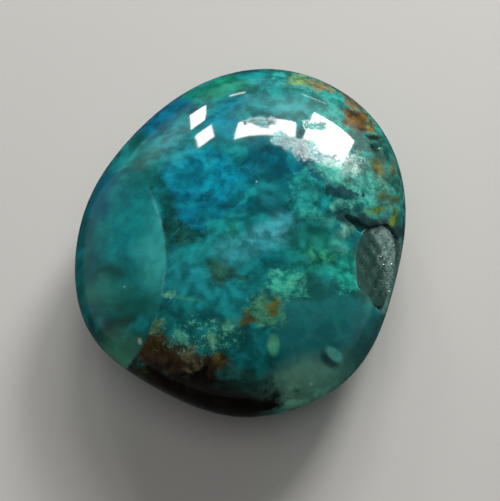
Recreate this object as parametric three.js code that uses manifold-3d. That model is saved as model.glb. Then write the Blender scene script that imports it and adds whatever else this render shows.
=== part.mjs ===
// A freeform of gem silica: blue-green chalcedony coloured by copper, ground to a low dome and polished.
// It lies on its flat ground back. A hollow in its right flank is lined with a crust of tiny quartz points.
// Lengths are millimetres. +Z is up, the back lies on z = 0, and the origin is under the middle of the stone.
import * as THREE from "three";
import { mergeVertices } from "three/addons/utils/BufferGeometryUtils.js";
import Module from "manifold-3d";

// The girdle is the widest line round the stone. Its radius is measured from the heart, a point
// inside the stone over the middle of the back, and swells in some directions.
const heartHeight = 5.3;
const girdleRadius = 12.7;
const swellSpread = 28; // degrees over which one swell fades
const swells = [
  { toward: 15, by: 0.9 },
  { toward: 45, by: 2.5 },
  { toward: 75, by: 3.4 },
  { toward: 105, by: 1.9 },
  { toward: 135, by: 0.3 },
  { toward: 165, by: 0.4 },
  { toward: 195, by: 0.6 },
  { toward: 220, by: 1.5 },
  { toward: 247, by: 2.1 },
  { toward: 275, by: 1.8 },
  { toward: 305, by: 1.8 },
  { toward: 335, by: 0.1 },
];

// The profile between the girdle and the poles is a little squarer than an ellipse.
const crownRise = 6.5;
const backDrop = 6.2;
const squareness = 2.15;

// The front lower face, where the brown matrix was ground away steeply.
const frontFace = { normal: [-0.5, -0.82, -0.35], distance: 14.6, sharpness: 14 };

// Broad facets that the polish left on the dome: a share of what stands past each plane is ground off.
// First the lens facet on the left, which has a clear edge, then two bevels at the back left and the back right,
// which blend into the dome.
const facets = [
  { normal: [-0.544, -0.092, 0.834], distance: 8.55, share: 0.5, softness: 0.15 },
  { normal: [-0.4, 0.41, 0.82], distance: 9.3, share: 0.4, softness: 0.8 },
  { normal: [0.31, 0.53, 0.79], distance: 11.8, share: 0.35, softness: 0.8 },
];

// The hollow in the right flank, a scoop whose steep upper wall makes a dark ledge.
const hollow = {
  at: [11.6, -4, 8.1],
  faces: [0.76, -0.2, 0.62],
  along: [0.05, -0.95, -0.34],
  halfLength: 3.6,
  halfWidth: 3.2,
  depth: 1.4,
};
// The open seam that runs from the ledge up onto the crown.
const seam = {
  at: [9.3, -1.2, 10.15],
  faces: [0.38, -0.08, 0.92],
  along: [0.9, -0.28, -0.39],
  halfLength: 2.2,
  halfWidth: 0.45,
  depth: 0.5,
};

// Rusty pits along the back right shoulder. Each is a short slot that follows the shoulder.
const pitDepth = 0.45;
const pits = [
  { at: [9.65, 10.45, 9], faces: [0.44, 0.31, 0.84], along: [0.77, -0.36, -0.27], halfLength: 0.6, halfWidth: 0.2 },
  { at: [9.5, 9.9, 9.25], faces: [0.41, 0.28, 0.87], along: [0.8, -0.6, -0.2], halfLength: 0.28, halfWidth: 0.18 },
  { at: [10.7, 9.1, 8.85], faces: [0.51, 0.26, 0.82], along: [0.84, -0.33, -0.41], halfLength: 0.6, halfWidth: 0.2 },
  { at: [11.3, 8, 8.75], faces: [0.56, 0.21, 0.8], along: [1, 0.06, -0.75], halfLength: 0.7, halfWidth: 0.26 },
  { at: [11.2, 6.9, 9.05], faces: [0.53, 0.15, 0.83], along: [0.63, -0.36, -0.34], halfLength: 0.45, halfWidth: 0.3 },
];

// The quartz crust lies in the hollow and stays clear of its walls.
const crustGap = 0.1;
const crustSinksBelowSurface = 0.45;
const crevice = 0.6; // open slot left between the crust and the ledge
const pointCount = 30;
const pointSides = 6;
const pointWidth = 0.45;
const pointHeight = 0.36;
const smallestPoint = 0.75; // as a share of the width and the height
const largestPoint = 1.25;
const pointSpread = 0.68; // how far toward the hollow's rim the points stand, as a share
const pointFanDepth = 5; // the points fan out from this deep under the hollow
const pointLean = 0.12;
const pointTurn = 2.4; // radians that each point is turned from the one before
const sizePace = 7.3; // how fast size and lean change from one point to the next
const leanPaces = [3.1, 4.7, 5.9];

// Fineness of the meshes.
const stepsAround = 92;
const stepsDown = 48;
const scoopSteps = 30;
const pitSteps = 10;
const ringsPerStep = 0.6; // rings of a scoop's ball for each step round it
const weldDistance = 1e-4;

const wasm = await Module();
wasm.setup();

const heart = new THREE.Vector3(0, 0, heartHeight);

function unit([x, y, z]) {
  return new THREE.Vector3(x, y, z).normalize();
}

// The girdle's radius in one direction: the plain radius and every swell, each a bell curve.
function girdleAt(azimuth) {
  const turn = 2 * Math.PI;
  return swells.reduce((radius, { toward, by }) => {
    const away = azimuth - THREE.MathUtils.degToRad(toward);
    const nearest = away - turn * Math.round(away / turn);
    return radius + by * Math.exp(-((nearest / THREE.MathUtils.degToRad(swellSpread)) ** 2));
  }, girdleRadius);
}

// Joins two measures of how far out a direction reaches, so that the smaller reach wins softly.
function softJoin(a, b, sharpness) {
  return (a ** sharpness + b ** sharpness) ** (1 / sharpness);
}

// Grinds a share of what stands past a facet's plane off a point measured from the heart.
function grindFacet(point, { normal, distance, share, softness }) {
  const n = unit(normal);
  const past = point.dot(n) - distance;
  const over = (past + Math.hypot(past, softness)) / 2;
  return point.addScaledVector(n, -share * over);
}

// The stone's surface in the direction given by an azimuth and a tilt from straight up.
function surfacePoint(azimuth, tilt) {
  const flat = Math.sin(tilt);
  const way = new THREE.Vector3(flat * Math.cos(azimuth), flat * Math.sin(azimuth), Math.cos(tilt));
  const reachUp = way.z > 0 ? crownRise : backDrop;
  const dome = softJoin(Math.sin(tilt) / girdleAt(azimuth), Math.abs(way.z) / reachUp, squareness);
  const front = Math.max(0, way.dot(unit(frontFace.normal))) / frontFace.distance;
  const point = way.divideScalar(softJoin(dome, front, frontFace.sharpness));
  facets.forEach((facet) => grindFacet(point, facet));
  return point.add(heart);
}

// A closed surface of rings between two poles, from a function of azimuth and tilt.
function ringedGeometry(pointAt) {
  const points = [pointAt(0, 0)];
  for (let row = 1; row < stepsDown; row++)
    for (let step = 0; step < stepsAround; step++)
      points.push(pointAt((2 * Math.PI * step) / stepsAround, (Math.PI * row) / stepsDown));
  points.push(pointAt(0, Math.PI));

  const last = points.length - 1;
  const vertex = (row, step) => 1 + (row - 1) * stepsAround + (step % stepsAround);
  const faces = [];
  for (let step = 0; step < stepsAround; step++) {
    faces.push(0, vertex(1, step), vertex(1, step + 1));
    for (let row = 1; row < stepsDown - 1; row++) {
      const [a, b] = [vertex(row, step), vertex(row, step + 1)];
      const [c, d] = [vertex(row + 1, step), vertex(row + 1, step + 1)];
      faces.push(a, c, d, a, d, b);
    }
    faces.push(vertex(stepsDown - 1, step), last, vertex(stepsDown - 1, step + 1));
  }
  return new THREE.BufferGeometry().setFromPoints(points).setIndex(faces);
}

// A closed three.js geometry as a solid.
function solidFrom(geometry) {
  const bare = geometry.clone();
  bare.deleteAttribute("normal");
  bare.deleteAttribute("uv");
  const merged = mergeVertices(bare, weldDistance);
  return new wasm.Manifold(
    new wasm.Mesh({
      numProp: 3,
      vertProperties: new Float32Array(merged.attributes.position.array),
      triVerts: new Uint32Array(merged.index.array),
    }),
  );
}

// A solid as a named mesh with flat faces.
function meshFrom(solid, name, material) {
  const { vertProperties, triVerts } = solid.getMesh();
  const geometry = new THREE.BufferGeometry();
  geometry.setAttribute("position", new THREE.BufferAttribute(new Float32Array(vertProperties), 3));
  geometry.setIndex(new THREE.BufferAttribute(new Uint32Array(triVerts), 1));
  geometry.computeVertexNormals();
  const mesh = new THREE.Mesh(geometry, material);
  mesh.name = name;
  return mesh;
}

// The frame of a scoop: x along it, y across it and z out of the stone, with its middle at the origin.
function scoopFrame({ at, faces, along }, slide = 0) {
  const out = unit(faces);
  const across = new THREE.Vector3().crossVectors(out, unit(along)).normalize();
  const lengthways = new THREE.Vector3().crossVectors(across, out);
  const middle = new THREE.Vector3(...at).addScaledVector(lengthways, slide);
  return new THREE.Matrix4().makeBasis(lengthways, across, out).setPosition(middle);
}

// A ball squashed to a scoop's length, width and depth, smaller by a gap on every side.
function scoopSolid(scoop, steps, gap = 0, slide = 0) {
  const ball = new THREE.SphereGeometry(1, steps, Math.round(steps * ringsPerStep));
  ball.scale(scoop.halfLength - gap, scoop.halfWidth - gap, scoop.depth - gap);
  return solidFrom(ball.applyMatrix4(scoopFrame(scoop, slide)));
}

// A point under the stone's surface, moved toward the heart by a share of the girdle's radius.
function sunkPoint(azimuth, tilt, sink) {
  const scale = 1 - sink / girdleRadius;
  return surfacePoint(azimuth, tilt).sub(heart).multiplyScalar(scale).add(heart);
}

// The stone before anything is carved from it, sunk below its surface if asked.
function plainBody(sink = 0) {
  return solidFrom(ringedGeometry((azimuth, tilt) => sunkPoint(azimuth, tilt, sink)));
}

// Everything below the flat back, with room to spare.
function belowBack() {
  const deep = 4 * backDrop;
  const wide = 6 * girdleRadius;
  return solidFrom(new THREE.BoxGeometry(wide, wide, deep).translate(0, 0, -deep / 2));
}

function stoneSolid() {
  const scoops = [
    scoopSolid(hollow, scoopSteps),
    scoopSolid(seam, 2 * pitSteps),
    ...pits.map((pit) => scoopSolid({ ...pit, depth: pitDepth }, pitSteps)),
  ];
  return scoops.reduce((stone, scoop) => stone.subtract(scoop), plainBody().subtract(belowBack()));
}

// The crust's upper surface over one place of the hollow: the stone's own surface, sunk.
function crustSurfaceAt(x, y) {
  const way = new THREE.Vector3(x, y, 0).applyMatrix4(scoopFrame(hollow)).sub(heart);
  const tilt = Math.acos(way.z / way.length());
  return sunkPoint(Math.atan2(way.y, way.x), tilt, crustSinksBelowSurface);
}

// One quartz point, a cone rooted in the crust that leans a little from the fan's direction.
function quartzPoint(x, y, number) {
  const size = THREE.MathUtils.lerp(smallestPoint, largestPoint, Math.abs(Math.sin(sizePace * number)));
  const foot = crustSurfaceAt(x, y);
  const root = new THREE.Vector3(0, 0, -pointFanDepth).applyMatrix4(scoopFrame(hollow));
  const lean = new THREE.Vector3(...leanPaces.map((pace) => Math.sin(pace * number)));
  const upright = foot.clone().sub(root).normalize().addScaledVector(lean, pointLean).normalize();
  const point = new THREE.ConeGeometry(pointWidth * size, 2 * pointHeight * size, pointSides);
  point.rotateY(pointTurn * number);
  point.applyQuaternion(new THREE.Quaternion().setFromUnitVectors(new THREE.Vector3(0, 1, 0), upright));
  return solidFrom(point.translate(...foot.toArray()));
}

// The crust: what fills the hollow up to just below the stone's surface, with points standing on it.
function crustSolid() {
  const filled = scoopSolid(hollow, scoopSteps, crustGap + crevice / 2, crevice / 2);
  const bed = filled.intersect(plainBody(crustSinksBelowSurface));
  const goldenTurn = Math.PI * (3 - Math.sqrt(5));
  const numbers = Array.from({ length: pointCount }, (_, index) => index + 1);
  const points = numbers.map((number) => {
    const share = pointSpread * Math.sqrt((number - 0.5) / pointCount);
    const x = crevice / 2 + share * hollow.halfLength * Math.cos(goldenTurn * number);
    const y = share * hollow.halfWidth * Math.sin(goldenTurn * number);
    return quartzPoint(x, y, number);
  });
  return points.reduce((crust, point) => crust.add(point), bed).intersect(filled);
}

const stoneMaterial = new THREE.MeshStandardMaterial({ color: 0x0f7f86, roughness: 0.12, metalness: 0 });
const crustMaterial = new THREE.MeshStandardMaterial({ color: 0x5f7f78, roughness: 0.3, metalness: 0 });

const part = new THREE.Group();
part.add(meshFrom(stoneSolid(), "stone", stoneMaterial));
part.add(meshFrom(crustSolid(), "quartz_crust", crustMaterial));

// Puts the origin under the middle of the part.
const middle = new THREE.Box3().setFromObject(part).getCenter(new THREE.Vector3());
part.children.forEach((mesh) => mesh.geometry.translate(-middle.x, -middle.y, 0));

export default part;
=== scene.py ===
"""A polished freeform of gem silica on a pale floor, seen from above its front.

Lengths in this file are millimetres, and they become metres where a mesh, a material or the camera is made.
Only the windows' distance is in metres. +Z is up and the stone lies on its flat back at z = 0. Its shape is
one surface round a heart point, pressed flat in places and scooped out in others. Its colours are soft and
ragged patches, painted in a pattern space that leans back over it.
"""

import logging
import math
from dataclasses import dataclass, field
from enum import Enum

import bpy
import numpy as np
from mathutils import Euler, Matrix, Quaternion, Vector

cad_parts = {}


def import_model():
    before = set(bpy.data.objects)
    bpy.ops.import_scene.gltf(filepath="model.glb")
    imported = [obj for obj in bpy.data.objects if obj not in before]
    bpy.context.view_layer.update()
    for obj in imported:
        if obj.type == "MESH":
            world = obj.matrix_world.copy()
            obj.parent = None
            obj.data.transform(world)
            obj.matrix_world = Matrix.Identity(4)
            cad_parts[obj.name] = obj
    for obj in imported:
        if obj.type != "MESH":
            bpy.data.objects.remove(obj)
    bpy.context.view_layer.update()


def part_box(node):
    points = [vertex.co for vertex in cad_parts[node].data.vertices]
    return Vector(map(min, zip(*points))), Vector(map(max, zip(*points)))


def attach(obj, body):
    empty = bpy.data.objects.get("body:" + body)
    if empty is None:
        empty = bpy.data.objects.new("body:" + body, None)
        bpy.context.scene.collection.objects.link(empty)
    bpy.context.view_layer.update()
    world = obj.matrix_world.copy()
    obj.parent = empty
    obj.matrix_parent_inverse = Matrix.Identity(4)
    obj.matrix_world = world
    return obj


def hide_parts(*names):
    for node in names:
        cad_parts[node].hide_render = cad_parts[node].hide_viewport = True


Triple = tuple[float, float, float]
Pair = tuple[float, float]
Shade = tuple[float, float, float, float]
Socket = bpy.types.NodeSocket
Number = Socket | float
Arrow = Socket | Triple
Colour = Socket | Shade
Inputs = dict[str | int, object]

LOG = logging.getLogger("gem_silica")
MM = 0.001
QUARTZ_IOR = 1.54
# How long a ray is said to be where it misses.
MISSED = 1e6
# The point that the colours lean about and that the camera looks near.
MIDDLE = (-0.09, -0.67, 5.0)
# The way across the hollow from its shaded wall to its open, pale side.
BRIGHT_SIDE = (0.95, 0.25, 0.0)


def unit(vectors: np.ndarray | Triple) -> np.ndarray:
    """Return vectors of length one that point the same ways."""
    ways = np.asarray(vectors, float)
    return ways / np.linalg.norm(ways, axis=-1, keepdims=True)


def linear(shade: str) -> Shade:
    """Turn a screen colour such as "0b6a72" into the linear colour that a shader reads.

    Args:
        shade: six hexadecimal digits, two each for red, green and blue.

    Returns:
        Linear red, green, blue and an alpha of one.
    """
    parts = [int(shade[place : place + 2], 16) / 255 for place in (0, 2, 4)]
    red, green, blue = (p / 12.92 if p <= 0.04045 else ((p + 0.055) / 1.055) ** 2.4 for p in parts)
    return red, green, blue, 1.0


def toward(azimuth: float, elevation: float) -> Vector:
    """Return the direction of a bearing: degrees from +Y toward +X, and degrees above the floor."""
    side, up = math.radians(azimuth), math.radians(elevation)
    return Vector((math.sin(side) * math.cos(up), math.cos(side) * math.cos(up), math.sin(up)))


def mesh_object(name: str, vertices: np.ndarray, faces: list[list[int]], smooth: bool) -> bpy.types.Object:
    """Make an object from vertices in millimetres.

    Args:
        name: the object's name.
        vertices: an array of n points.
        faces: the vertex numbers of each face.
        smooth: whether light runs smoothly over the faces' edges.

    Returns:
        The object, linked to the scene at the origin.
    """
    mesh = bpy.data.meshes.new(name)
    mesh.from_pydata((vertices * MM).tolist(), [], faces)
    mesh.polygons.foreach_set("use_smooth", np.full(len(mesh.polygons), smooth))
    mesh.update()
    piece = bpy.data.objects.new(name, mesh)
    bpy.context.scene.collection.objects.link(piece)
    return piece


def ringed_mesh(name: str, top: np.ndarray, rings: np.ndarray, bottom: np.ndarray) -> bpy.types.Object:
    """Make a closed object from rings of points between two poles.

    Args:
        name: the object's name.
        top: the pole that the first ring goes round.
        rings: an array of rows by steps by 3, each row a ring that runs anticlockwise seen from the top.
        bottom: the pole that the last ring goes round.

    Returns:
        The object, its faces pointing out.
    """
    rows, steps = rings.shape[:2]
    vertices = np.concatenate([top[None], rings.reshape(-1, 3), bottom[None]])
    number = 1 + np.arange(rows * steps).reshape(rows, steps)
    after = np.roll(number, -1, axis=1)
    quads = np.stack([number[:-1], number[1:], after[1:], after[:-1]], -1).reshape(-1, 4)
    cap = np.stack([np.zeros(steps, int), number[0], after[0]], -1)
    base = np.stack([number[-1], np.full(steps, len(vertices) - 1), after[-1]], -1)
    return mesh_object(name, vertices, quads.tolist() + cap.tolist() + base.tolist(), smooth=True)


@dataclass(frozen=True)
class Swell:
    """A stretch of the outline that bulges: degrees round from +X, and millimetres out."""

    toward: float
    by: float


@dataclass(frozen=True)
class Facet:
    """A broad facet: a share of what stands past its plane is ground off, with a soft or a clear edge."""

    normal: Triple
    distance: float
    share: float
    softness: float


@dataclass(frozen=True)
class Scoop:
    """A squashed ball that is carved out of the stone, or a slot when it is long and thin.

    at is its middle, faces points out of it, and along runs lengthways. rim is how softly its border is
    rounded.
    """

    at: Triple
    faces: Triple
    along: Triple
    half_length: float
    half_width: float
    depth: float
    rim: float = 0.05

    def axes(self) -> np.ndarray:
        """Work out the scoop's own frame.

        Returns:
            Its lengthways, crossways and outward directions, as rows.
        """
        out = unit(self.faces)
        across = unit(np.cross(out, unit(self.along)))
        return np.stack([np.cross(across, out), across, out])

    def near_wall(self, origin: np.ndarray, ways: np.ndarray, more: float = 0.0) -> np.ndarray:
        """Find how far along each ray the scoop's near wall is.

        The ray is measured in a frame where the scoop is a ball of radius one, and the nearer root of
        |start + t way| = 1 is the wall.

        Args:
            origin: the point that the rays leave.
            ways: unit directions.
            more: how much larger the scoop is taken on every side.

        Returns:
            The distance to the wall, or MISSED where the ray doesn't meet it.
        """
        halves = np.array([self.half_length, self.half_width, self.depth]) + more
        start = self.axes() @ (origin - np.array(self.at)) / halves
        turned = ways @ self.axes().T / halves
        a = (turned**2).sum(-1)
        b = turned @ start
        c = start @ start - 1
        under = b**2 - a * c
        ahead = (under > 0) & (b < 0)
        return np.where(ahead, (-b - np.sqrt(np.maximum(under, 0))) / a, MISSED)


def soft_least(a: np.ndarray, b: np.ndarray, softness: float, reach: float = 6.0) -> np.ndarray:
    """Take the smaller of two lengths, blended where they are nearly equal.

    It is (a + b - sqrt((a - b)^2 + softness^2)) / 2, and the plain least where they are far apart.

    Args:
        a: lengths.
        b: as many other lengths.
        softness: twice the most that the blend goes below the least.
        reach: how far apart the lengths may be, in softnesses, to be blended.

    Returns:
        The blended lengths.
    """
    apart = np.abs(a - b)
    tail = (np.hypot(apart, softness) - apart) / 2
    return np.minimum(a, b) - np.where(apart < reach * softness, tail, 0.0)


@dataclass
class StoneForm:
    """The ground shape of the stone: an outline with swells, a domed crown, a steep front and facets."""

    heart_height: float = 5.3
    girdle_radius: float = 12.7
    swell_spread: float = 28.0
    swells: tuple[Swell, ...] = (
        Swell(15, 0.9),
        Swell(45, 2.5),
        Swell(75, 3.4),
        Swell(105, 1.9),
        Swell(135, 0.3),
        Swell(165, 0.4),
        Swell(195, 0.6),
        Swell(220, 1.5),
        Swell(247, 2.1),
        Swell(275, 1.8),
        Swell(305, 1.8),
        Swell(335, 0.1),
    )
    crown_rise: float = 6.5
    back_drop: float = 6.2
    squareness: float = 2.15
    front_normal: Triple = (-0.5, -0.82, -0.35)
    front_distance: float = 14.6
    front_sharpness: float = 14.0
    facets: tuple[Facet, ...] = (
        Facet((-0.544, -0.092, 0.834), 8.55, 0.5, 0.15),
        Facet((-0.4, 0.41, 0.82), 9.3, 0.4, 0.8),
        Facet((0.31, 0.53, 0.79), 11.8, 0.35, 0.8),
    )

    @property
    def heart(self) -> np.ndarray:
        """The point that the stone is shaped around."""
        return np.array([0, 0, self.heart_height])

    def girdle(self, azimuth: np.ndarray) -> np.ndarray:
        """Work out the girdle's radius: the plain radius and every swell, each a bell curve of the angle.

        Args:
            azimuth: angles round from +X.

        Returns:
            The radius at each angle.
        """
        radius = np.full_like(azimuth, self.girdle_radius)
        for swell in self.swells:
            away = azimuth - math.radians(swell.toward)
            away -= 2 * np.pi * np.round(away / (2 * np.pi))
            radius += swell.by * np.exp(-((away / math.radians(self.swell_spread)) ** 2))
        return radius

    def surface(self, ways: np.ndarray) -> np.ndarray:
        """Work out the ground surface in each direction from the heart.

        The girdle and the rise or drop are joined by a power mean, as in a squared ellipse, and the front
        plane by a sharper one. Then a share of what stands past each facet's plane is taken off.

        Args:
            ways: unit directions.

        Returns:
            Points measured from the heart.
        """
        flat = np.hypot(ways[..., 0], ways[..., 1])
        girdle = self.girdle(np.arctan2(ways[..., 1], ways[..., 0]))
        reach = np.where(ways[..., 2] > 0, self.crown_rise, self.back_drop)
        power = self.squareness
        dome = ((flat / girdle) ** power + (np.abs(ways[..., 2]) / reach) ** power) ** (1 / power)
        front = np.maximum(ways @ unit(self.front_normal), 0) / self.front_distance
        power = self.front_sharpness
        points = ways / ((dome**power + front**power) ** (1 / power))[..., None]
        for facet in self.facets:
            past = points @ unit(facet.normal) - facet.distance
            over = (past + np.hypot(past, facet.softness)) / 2
            points = points - facet.share * over[..., None] * unit(facet.normal)
        return points

    def reach(self, ways: np.ndarray) -> np.ndarray:
        """Return how far the surface is from the heart, near enough away from the facets."""
        return np.linalg.norm(self.surface(ways), axis=-1)


HOLLOW = Scoop((11.6, -4.0, 8.1), (0.76, -0.2, 0.62), (0.05, -0.95, -0.34), 3.6, 3.2, 1.4, rim=0.2)
SEAM = Scoop((9.8, -1.35, 9.93), (0.38, -0.08, 0.92), (0.9, -0.28, -0.39), 1.8, 0.4, 0.45, rim=0.12)
PIT_DEPTH = 0.45
PITS = (
    Scoop((9.65, 10.45, 9.0), (0.44, 0.31, 0.84), (0.77, -0.36, -0.27), 0.6, 0.2, PIT_DEPTH),
    Scoop((9.5, 9.9, 9.25), (0.41, 0.28, 0.87), (0.8, -0.6, -0.2), 0.28, 0.18, PIT_DEPTH),
    Scoop((10.7, 9.1, 8.85), (0.51, 0.26, 0.82), (0.84, -0.33, -0.41), 0.6, 0.2, PIT_DEPTH),
    Scoop((11.3, 8.0, 8.75), (0.56, 0.21, 0.8), (1.0, 0.06, -0.75), 0.7, 0.26, PIT_DEPTH),
    Scoop((11.2, 6.9, 9.05), (0.53, 0.15, 0.83), (0.63, -0.36, -0.34), 0.45, 0.3, PIT_DEPTH),
)


@dataclass(frozen=True)
class Crowding:
    """Where a grid is closer: about an angle and within a spread, both in degrees, and how much more so."""

    about: float
    spread: float
    extra: float


@dataclass
class PolishedStone:
    """The stone: its ground form, with the hollow, the seam and the pits carved from it.

    ripples are the pace and the size of the waves that make the carved borders ragged.
    """

    form: StoneForm
    steps_around: int = 560
    steps_down: int = 168
    crowding_around: Crowding = Crowding(5, 45, 1.6)
    crowding_down: Crowding = Crowding(58, 30, 1.2)
    fine_steps: int = 4001
    back_softness: float = 0.06
    ripples: tuple[Pair, ...] = ((22.0, 0.012), (51.0, 0.007), (104.0, 0.0035))
    ripple_starts: Triple = (0.3, 1.7, 2.9)
    moved_by: np.ndarray = field(default_factory=lambda: np.zeros(3))

    def spaced(self, count: int, turn: float, closer: Crowding) -> np.ndarray:
        """Space angles from 0 to a turn more closely in one place.

        The spacing is one over 1 + extra exp(-((angle - about) / spread)^2), and the angles are where its
        running sum passes equal shares. A full turn joins up with its start.

        Args:
            count: how many steps the turn is divided in.
            turn: the whole angle.
            closer: where the angles lie closer.

        Returns:
            count + 1 angles, the first 0 and the last the whole turn.
        """
        fine = np.linspace(0, turn, self.fine_steps)
        away = fine - math.radians(closer.about)
        if turn == 2 * np.pi:
            away -= turn * np.round(away / turn)
        density = 1 + closer.extra * np.exp(-((away / math.radians(closer.spread)) ** 2))
        total = np.concatenate([[0], np.cumsum((density[1:] + density[:-1]) / 2)])
        return np.interp(np.linspace(0, total[-1], count + 1), total, fine)

    def carved(self, ways: np.ndarray) -> np.ndarray:
        """Work out the finished surface in each direction from the heart.

        Along each ray the surface is the nearest of the ground surface, the flat back and each scoop's
        near wall.

        Args:
            ways: unit directions.

        Returns:
            Points of the surface.
        """
        points = self.form.surface(ways)
        far = np.linalg.norm(points, axis=-1)
        ways = points / far[..., None]
        down = np.maximum(-ways[..., 2], 1 / MISSED)
        far = soft_least(far, self.form.heart_height / down, self.back_softness)
        shaken = self.shaken(ways)
        for scoop in (HOLLOW, SEAM, *PITS):
            far = soft_least(far, scoop.near_wall(self.form.heart, shaken), scoop.rim)
        return ways * far[..., None] + self.form.heart

    def shaken(self, ways: np.ndarray) -> np.ndarray:
        """Push directions a little sideways, so that what is carved along them gets a ragged border.

        Each push is the sum of sine waves of the direction itself, each finer and smaller than the last.

        Args:
            ways: unit directions from the heart.

        Returns:
            The pushed directions, again of length one.
        """
        pushed = ways.copy()
        for pace, size in self.ripples:
            pushed += size * np.sin(pace * ways[..., [1, 2, 0]] + pace * np.array(self.ripple_starts))
        return unit(pushed)

    def build(self) -> bpy.types.Object:
        """Build the stone's mesh and put its box's middle where the solid's is.

        Returns:
            The stone.
        """
        around = self.spaced(self.steps_around, 2 * np.pi, self.crowding_around)
        down = self.spaced(self.steps_down, np.pi, self.crowding_down)
        tilt, azimuth = np.meshgrid(down[1:-1], around[:-1], indexing="ij")
        flat = np.sin(tilt)
        rings = self.carved(np.stack([flat * np.cos(azimuth), flat * np.sin(azimuth), np.cos(tilt)], -1))
        top, bottom = self.carved(np.array([[0.0, 0.0, 1.0], [0.0, 0.0, -1.0]]))
        self.moved_by = shift = self.shift(rings.reshape(-1, 3))
        piece = ringed_mesh("polished_stone", top + shift, rings + shift, bottom + shift)
        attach(piece, "root")
        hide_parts("stone")
        return piece

    def shift(self, points: np.ndarray) -> np.ndarray:
        """Find how far the stone moves sideways to lie over the solid of the same shape.

        Args:
            points: the stone's points, n by 3.

        Returns:
            The move, level with the floor.
        """
        low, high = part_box("stone")
        solid = (np.array(low) + np.array(high)) / 2 / MM
        return (solid - (points.min(0) + points.max(0)) / 2) * (1, 1, 0)


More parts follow.
